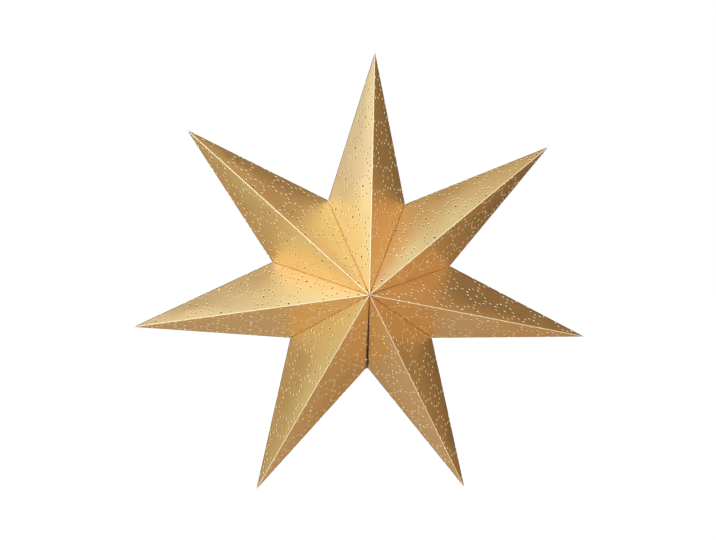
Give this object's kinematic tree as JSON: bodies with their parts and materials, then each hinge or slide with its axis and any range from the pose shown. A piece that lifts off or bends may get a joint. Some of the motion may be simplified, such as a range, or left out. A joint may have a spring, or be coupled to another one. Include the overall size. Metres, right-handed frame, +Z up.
{
  "type": "folded paper star lantern shade",
  "caption": "Hollow pointed star of folded gold card, glued point to point and punched all over with rings of small round holes; it hangs by the tip of its top point.",
  "frame": {"origin": "centre of the star, on its axis and midway between the front and the back apex", "axes": "+Z up, through the tip of the top point; -Y is the front; the star's axis is Y"},
  "size_m": [0.6018, 0.25, 0.5835],
  "materials": {
    "gold_card": "card foiled in satin gold on its outside, plain white on its inside and at its cut edges"
  },
  "bodies": {
    "root": {"point_top": "gold_card", "point_upper_left": "gold_card", "point_left": "gold_card", "point_lower_left": "gold_card", "point_lower_right": "gold_card", "point_right": "gold_card", "point_upper_right": "gold_card"}
  },
  "joints": []
}
